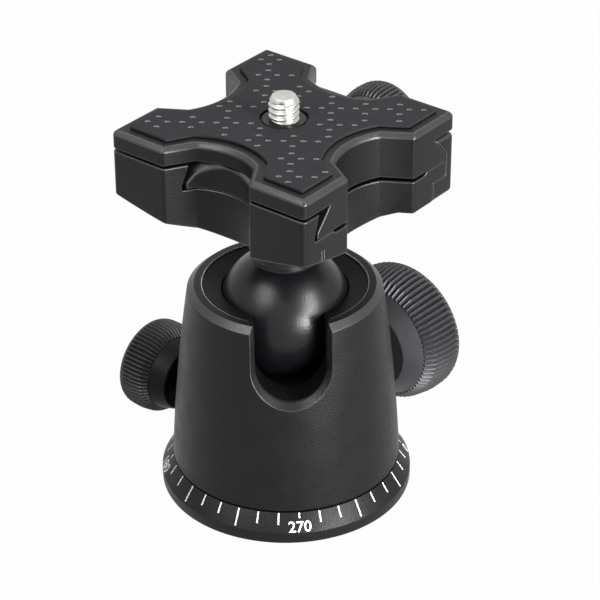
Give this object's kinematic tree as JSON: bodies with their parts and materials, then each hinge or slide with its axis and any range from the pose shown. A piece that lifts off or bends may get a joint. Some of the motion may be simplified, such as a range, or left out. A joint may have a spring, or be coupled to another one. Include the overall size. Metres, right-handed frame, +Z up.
{
  "type": "tripod ball head",
  "caption": "Ball head with a rotating dial base, a slotted housing, a lockable ball and a dovetail clamp that holds a cross-shaped camera plate.",
  "frame": {"origin": "centre of the base's underside, at the mouth of the tripod socket", "axes": "+Z up along the pan axis to the camera screw; -Y is the side of the housing with the neck slot; +X is to the right of someone who faces the slot"},
  "size_m": [0.0764, 0.0747, 0.0918],
  "materials": {
    "anodised_black": "bead-blasted, black anodised",
    "knob_black": "machined ridges, black anodised",
    "ball_black": "turned, satin black anodised",
    "steel": "bright stainless",
    "brass": "turned",
    "acetal": "natural acetal",
    "cup_aluminium": "turned, black anodised",
    "pad_rubber": "moulded rubber with a raised pattern"
  },
  "bodies": {
    "base": {"pan_base": "anodised_black", "thread_insert": "steel", "keeper_plate": "steel", "keeper_screws": "steel", "pan_washer": "acetal"},
    "housing": {"body_housing": "anodised_black", "ball_collar": "ball_black", "lock_bush": "brass", "pan_bush": "brass"},
    "lift_cup": {"lift_cup": "cup_aluminium", "cup_liner": "acetal", "lift_plunger": "steel"},
    "lock_wedge": {"lock_wedge": "steel"},
    "lock_screw": {"lock_screw": "steel", "lock_knob": "knob_black", "lock_knob_grub": "steel"},
    "brake_tip": {"brake_tip": "brass"},
    "pan_screw": {"pan_screw": "steel", "pan_knob": "knob_black", "pan_knob_grub": "steel"},
    "ball": {"ball": "ball_black"},
    "neck": {"ball_neck": "ball_black"},
    "clamp": {"clamp_base": "anodised_black", "stem_screw": "steel", "guide_pins": "steel"},
    "jaw": {"moving_jaw": "anodised_black", "clamp_washer": "steel"},
    "clamp_screw": {"clamp_screw": "steel", "clamp_knob": "knob_black", "clamp_knob_grub": "steel"},
    "plate": {"camera_plate": "anodised_black", "plate_pad": "pad_rubber"},
    "camera_screw": {"camera_screw": "steel", "screw_ring": "steel"}
  },
  "joints": [
    {"name": "pan", "type": "hinge", "parent": "base", "child": "housing", "pos_m": [0, 0, 0], "axis": [0, 0, 1], "continuous": true},
    {"name": "lock_slide", "type": "slide", "parent": "housing", "child": "lock_wedge", "axis": [0.7071, 0.7071, 0], "range_m": [0, 0.00093]},
    {"name": "lock_turn", "type": "hinge", "parent": "lock_wedge", "child": "lock_screw", "pos_m": [0, 0, 0.0185], "axis": [0.7071, 0.7071, 0], "range_deg": [0, 270]},
    {"name": "cup_lift", "type": "slide", "parent": "housing", "child": "lift_cup", "axis": [0, 0, 1], "range_m": [-0.00055, 0]},
    {"name": "pan_lock_slide", "type": "slide", "parent": "housing", "child": "brake_tip", "axis": [-0.7071, 0.7071, 0], "range_m": [0, 0.00099]},
    {"name": "pan_lock_turn", "type": "hinge", "parent": "brake_tip", "child": "pan_screw", "pos_m": [0, 0, 0.0115], "axis": [-0.7071, 0.7071, 0], "range_deg": [0, 360]},
    {"name": "ball_roll", "type": "hinge", "parent": "housing", "child": "ball", "pos_m": [0, 0, 0.0416], "axis": [0, 1, 0], "range_deg": [-25, 25]},
    {"name": "ball_nod", "type": "hinge", "parent": "ball", "child": "neck", "pos_m": [0, 0, 0.0416], "axis": [1, 0, 0], "range_deg": [-25, 90]},
    {"name": "neck_swivel", "type": "hinge", "parent": "neck", "child": "clamp", "pos_m": [0, 0, 0.06], "axis": [0, 0, 1], "continuous": true},
    {"name": "jaw_slide", "type": "slide", "parent": "clamp", "child": "jaw", "axis": [0.6725, 0.7401, 0], "range_m": [0, 0.003]},
    {"name": "clamp_knob_turn", "type": "hinge", "parent": "jaw", "child": "clamp_screw", "pos_m": [0, 0, 0.0722], "axis": [0.6725, 0.7401, 0], "range_deg": [0, 1351]},
    {"name": "plate_slide", "type": "slide", "parent": "clamp", "child": "plate", "axis": [0.7401, -0.6725, 0], "range_m": [-0.02, 0.02]},
    {"name": "camera_screw_turn", "type": "hinge", "parent": "plate", "child": "camera_screw", "pos_m": [0, 0, 0.08], "axis": [0, 0, 1], "continuous": true}
  ],
  "couplings": [
    {"joint": "lock_turn", "follows": "lock_slide", "rad_per_m": 5026.5},
    {"joint": "cup_lift", "follows": "lock_slide", "ratio": -0.57735},
    {"joint": "pan_lock_turn", "follows": "pan_lock_slide", "rad_per_m": 6283.2},
    {"joint": "clamp_knob_turn", "follows": "jaw_slide", "rad_per_m": 7854}
  ]
}
